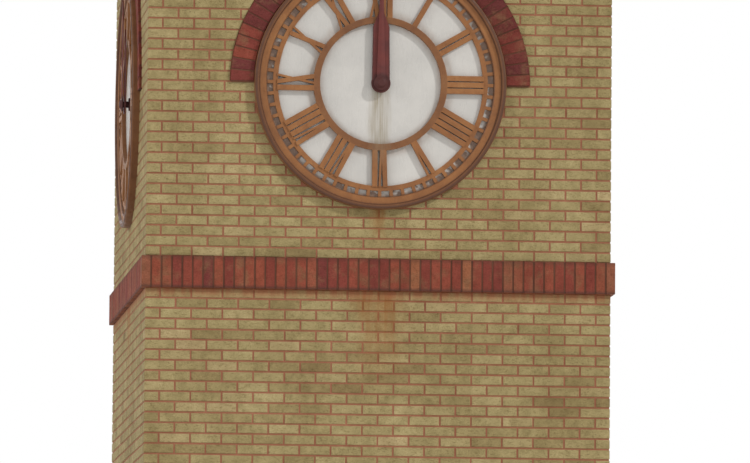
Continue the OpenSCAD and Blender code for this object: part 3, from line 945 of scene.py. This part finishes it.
nodeFinish = {"buff_brick": buffMortar, "red_brick": redMortar, "brown_casting": casting,
              "opal_glass": opal, "maroon_hands": handPaint, "painted_timber": timber,
              "slate": slate, "grey_metal": lead, "concrete": concrete}
for part in frame["record"]["subparts"]:
    mesh = nodes[part["node"]].data
    mesh.materials.clear()
    mesh.materials.append(nodeFinish[part["material_slot"]])
nodes["hip_tiles"].data.materials[0] = makeHipFinish()
print("every node of the frame has its finish")


# Roof slates, cut along the hips

slating = dict(
    wide=0.25, gauge=0.20, length=0.30, thick=0.008, gap=0.003, overhang=0.02,
    lift=0.009,                # the tail lies this much higher than the head
    shift=0.002, rise=0.001,   # unevenness along the slope and off it
    tone=0.45, tones=0.16,
)


def makeSlates():
    rowLength = math.hypot(roofRise, roofHalf)
    bm = bmesh.new()
    shade = bm.faces.layers.float.new("tone")
    for row in range(math.ceil(rowLength / slating["gauge"])):
        low = row * slating["gauge"]
        reach = roofHalf * (1 - low / rowLength) + slating["wide"]
        number = 2 * math.ceil(reach / slating["wide"]) + 1
        for k in range(number):
            x = (k + 0.5 - number / 2 + (row % 2) / 2) * slating["wide"]
            verts = bmesh.ops.create_cube(bm, size=1.0)["verts"]
            bmesh.ops.scale(bm, vec=(slating["wide"] - slating["gap"], slating["length"],
                                     slating["thick"]), verts=verts)
            tail = [v for v in verts if v.co.y < 0]
            bmesh.ops.translate(bm, vec=(0, 0, slating["lift"]), verts=tail)
            along = low + slating["length"] / 2 - slating["overhang"]
            along += chance.uniform(-1, 1) * slating["shift"]
            up = slating["thick"] / 2 + chance.uniform(0, 1) * slating["rise"]
            bmesh.ops.translate(bm, vec=(x, along, up), verts=verts)
            slateTone = pickTone(slating["tone"], slating["tones"])
            for face in {f for v in verts for f in v.link_faces}:
                face[shade] = slateTone
    pitch = Matrix.Rotation(math.atan2(roofRise, roofHalf), 4, "X")
    bmesh.ops.transform(bm, matrix=Matrix.Translation((0, -roofHalf, roof[0].z)) @ pitch,
                        verts=bm.verts)
    for sign in (-1, 1):
        cutAlong(bm, (0, 0, roof[1].z), (sign, 1, 0))
    bmesh.ops.recalc_face_normals(bm, faces=bm.faces)
    return bm


slates = makeSlates()
for side in sides:
    showShape(side + "_slates", slates.copy(), slate, sideTurn[side])
slates.free()
print("roof is slated")


# Boards of the eaves, mitred at the corners

eavesBoards = dict(
    count=3, out=0.006, gap=0.004, edge=0.003,
    inset=0.025,    # the soffit boards end this far inside the fascia's face
    below=0.03,     # and the fascia ends this far under the slates
)


# A board along the front side between two distances from the middle, with mitred ends
def makeEavesBoard(near, far, low, high):
    bm = startBox((2 * far, far - near, high - low), (0, -(near + far) / 2, (low + high) / 2))
    lengthwise = [e for e in bm.edges if abs(e.verts[0].co.x - e.verts[1].co.x) > near]
    wearEdges(bm, lengthwise, eavesBoards["edge"], 2)
    for sign in (-1, 1):
        cutAlong(bm, (0, 0, 0), (sign, 1, 0))
    return bm


def makeEaves():
    near = cornice[1].x + brick["proud"]
    far = eaves[1].x - eavesBoards["inset"]
    wide = (far - near) / eavesBoards["count"]
    out = eavesBoards["out"]
    boards = [makeEavesBoard(near + i * wide, near + (i + 1) * wide - eavesBoards["gap"],
                             eaves[0].z - out, eaves[0].z + out)
              for i in range(eavesBoards["count"])]
    boards.append(makeEavesBoard(eaves[1].x - out, eaves[1].x + out, eaves[0].z - 2 * out,
                                 eaves[1].z - eavesBoards["below"]))
    return joinShapes(boards)


eavesShape = makeEaves()
for side in sides:
    showShape(side + "_eaves_boards", eavesShape.copy(), timber, sideTurn[side])
eavesShape.free()


# Lead cap over the roof's point

leadCap = dict(radius=0.134, skirt=0.17, top=0.004, foot=0.112, thick=0.012,
               flare=0.006, shoulder=0.02, slant=0.008, steps=48)


def makeCap():
    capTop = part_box("finial")[0].z + leadCap["top"]
    radius, foot, thick = leadCap["radius"], leadCap["foot"], leadCap["thick"]
    flared, skirt, shoulder = radius + leadCap["flare"], leadCap["skirt"], leadCap["shoulder"]
    profile = ((flared, -skirt), (radius, -shoulder), (radius - leadCap["slant"], 0.0), (foot, 0.0),
               (foot, -thick), (radius - thick, -shoulder), (flared - thick, -skirt))
    bm = bmesh.new()
    verts = [bm.verts.new((r, 0, capTop + z)) for r, z in profile]
    edges = [bm.edges.new((verts[i], verts[(i + 1) % len(verts)])) for i in range(len(verts))]
    bmesh.ops.spin(bm, geom=verts + edges, cent=(0, 0, 0), axis=(0, 0, 1), angle=2 * math.pi,
                   steps=leadCap["steps"], use_merge=True)
    return bm


showShape("lead_cap", makeCap(), lead)
print("eaves are boarded and the roof is capped")


# Door: boards, strap hinges, a ring handle and a lock plate, and a worn stone step

door = dict(
    boards=6, boardOut=0.009, boardSunk=0.004, boardGap=0.0006, groove=0.005, margin=0.004,
    strapLength=0.52, strapWide=0.045, strapEnd=0.45, strapThick=0.006, strapHeights=(0.26, 1.72),
    bolts=(0.06, 0.22, 0.40), bolt=dict(radius=0.011, flat=0.6, sides=(12, 6)),
    handleHeight=0.98, handleAcross=-0.32,
    ring=dict(radius=0.038, thick=0.006, out=0.016, up=0.008, sides=(10, 28)),
    knob=dict(radius=0.016, flat=1.0, sides=(14, 8)), knobOut=0.012, knobUp=0.005,
    plate=(0.055, 0.005, 0.16), ironEdge=0.002,
)


def makeBoards():
    low, high = doorLeaf
    wide = (high.x - low.x - 2 * door["margin"]) / door["boards"]
    shapes = []
    for i in range(door["boards"]):
        board = makeBlock(wide - door["boardGap"], door["boardOut"] + door["boardSunk"],
                          high.z - low.z - 2 * door["margin"], edge=door["groove"])
        bmesh.ops.translate(board, vec=(low.x + door["margin"] + (i + 0.5) * wide, 0,
                                        (low.z + high.z) / 2), verts=board.verts)
        shapes.append(board)
    return joinShapes(shapes)


def makeStud(stud, place):
    bm = bmesh.new()
    around, upwards = stud["sides"]
    bmesh.ops.create_uvsphere(bm, u_segments=around, v_segments=upwards, radius=stud["radius"])
    bmesh.ops.scale(bm, vec=(1, stud["flat"], 1), verts=bm.verts)
    bmesh.ops.translate(bm, vec=place, verts=bm.verts)
    return bm


def makeStrap(z):
    hinge = doorLeaf[1].x - door["margin"]
    length = door["strapLength"]
    strap = makeBlock(length, door["strapThick"], door["strapWide"], edge=door["ironEdge"])
    tip = [v for v in strap.verts if v.co.x < 0]
    bmesh.ops.scale(strap, vec=(1, 1, door["strapEnd"]), verts=tip)
    bmesh.ops.translate(strap, vec=(-length / 2, 0, 0), verts=strap.verts)
    bolts = [makeStud(door["bolt"], (-along, 0, 0)) for along in door["bolts"]]
    joined = joinShapes([strap] + bolts)
    bmesh.ops.translate(joined, vec=(hinge, -door["strapThick"], z), verts=joined.verts)
    return joined


def makeRing(x, z):
    ring = door["ring"]
    around, steps = ring["sides"]
    upright = Matrix.Rotation(math.radians(90), 3, "X")
    bm = bmesh.new()
    made = bmesh.ops.create_circle(bm, cap_ends=False, segments=around, radius=ring["thick"])
    bmesh.ops.translate(bm, vec=(ring["radius"], 0, 0), verts=made["verts"])
    bmesh.ops.rotate(bm, cent=(0, 0, 0), matrix=upright, verts=bm.verts)
    bmesh.ops.spin(bm, geom=bm.verts[:] + bm.edges[:], cent=(0, 0, 0), axis=(0, 0, 1),
                   angle=2 * math.pi, steps=steps, use_merge=True)
    bmesh.ops.rotate(bm, cent=(0, 0, 0), matrix=upright, verts=bm.verts)
    bmesh.ops.translate(bm, vec=(x, -ring["out"], z - ring["radius"] + ring["up"]), verts=bm.verts)
    return bm


# The door is shaped as if it were on the front, at y = 0, and turned to the back
def makeDoor():
    onLeaf = sideTurn["back"] @ Matrix.Translation((0, -doorLeaf[1].y - door["boardOut"], 0))
    showShape("door_boards", makeBoards(), timber, onLeaf)
    ironwork = [makeStrap(doorLeaf[0].z + up) for up in door["strapHeights"]]
    x, z = door["handleAcross"], doorLeaf[0].z + door["handleHeight"]
    plate = makeBlock(*door["plate"], edge=door["ironEdge"])
    bmesh.ops.translate(plate, vec=(x, -door["plate"][1], z), verts=plate.verts)
    knob = makeStud(door["knob"], (x, -door["knobOut"], z + door["knobUp"]))
    ironwork += [plate, knob, makeRing(x, z)]
    showShape("door_ironwork", joinShapes(ironwork), iron, onLeaf)


stone = dict(edge=0.014, hollow=0.006, hollowHalf=0.28, cuts=14)


def makeStep():
    low, high = step
    bm = startBox(high - low, (high + low) / 2)
    front = [e for e in bm.edges if all(v.co.y > high.y - hair for v in e.verts)]
    wearEdges(bm, front, stone["edge"], 3)
    for i in range(1, stone["cuts"]):
        x = low.x + (high.x - low.x) * i / stone["cuts"]
        bmesh.ops.bisect_plane(bm, geom=bm.verts[:] + bm.edges[:] + bm.faces[:],
                               plane_co=(x, 0, 0), plane_no=(1, 0, 0))
    for vert in bm.verts:
        if vert.co.z > high.z - stone["edge"]:
            vert.co.z -= stone["hollow"] * math.exp(-(vert.co.x / stone["hollowHalf"]) ** 2)
    return bm


makeDoor()
stepStone = showShape("step_stone", makeStep(), concrete)
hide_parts("door_step")
print("door and step are made")


# Floor and light

studio = dict(
    ambient=0.62,
    key=dict(azimuth=52, elevation=36, strength=1.9, softness=3.0),
    fill=dict(azimuth=-72, elevation=22, strength=0.95, softness=25.0),
    back=dict(azimuth=178, elevation=28, strength=0.8, softness=30.0),
    floor=srgb(238, 237, 234), floorRoughness=0.9, floorRadius=120.0, floorSides=96,
)


def makeFloor():
    finish, _, shader, _ = startFinish("studio_floor")
    shader.inputs["Base Color"].default_value = studio["floor"]
    shader.inputs["Roughness"].default_value = studio["floorRoughness"]
    bm = bmesh.new()
    bmesh.ops.create_circle(bm, cap_ends=True, segments=studio["floorSides"],
                            radius=studio["floorRadius"])
    mesh = bpy.data.meshes.new("studio_floor")
    bm.to_mesh(mesh)
    bm.free()
    mesh.materials.append(finish)
    floor = bpy.data.objects.new("studio_floor", mesh)
    bpy.context.scene.collection.objects.link(floor)


def makeSun(name, lamp):
    azimuth, elevation = math.radians(lamp["azimuth"]), math.radians(lamp["elevation"])
    fromSun = Vector((math.sin(azimuth) * math.cos(elevation),
                      -math.cos(azimuth) * math.cos(elevation), math.sin(elevation)))
    data = bpy.data.lights.new(name, "SUN")
    data.energy = lamp["strength"]
    data.angle = math.radians(lamp["softness"])
    sun = bpy.data.objects.new(name, data)
    sun.matrix_world = (-fromSun).to_track_quat("-Z", "Y").to_matrix().to_4x4()
    bpy.context.scene.collection.objects.link(sun)


# The world is white to the eye and in reflections, and lights the object less brightly
def makeWorld():
    world = bpy.data.worlds.new("studio")
    world.use_nodes = True
    bpy.context.scene.world = world
    tree = world.node_tree
    background = tree.nodes["Background"]
    background.inputs["Color"].default_value = (1, 1, 1, 1)
    rays = tree.nodes.new("ShaderNodeLightPath")
    seen = maths(tree, "MAXIMUM", rays.outputs["Is Camera Ray"],
                 maths(tree, "MAXIMUM", rays.outputs["Is Glossy Ray"],
                       rays.outputs["Is Transmission Ray"]))
    lit = maths(tree, "MULTIPLY_ADD", seen, 1 - studio["ambient"], studio["ambient"])
    tree.links.new(lit, background.inputs["Strength"])


makeFloor()
makeSun("key_light", studio["key"])
makeSun("fill_light", studio["fill"])
makeSun("back_light", studio["back"])
makeWorld()
bpy.context.scene.view_settings.view_transform = "Standard"
print("studio is lit")
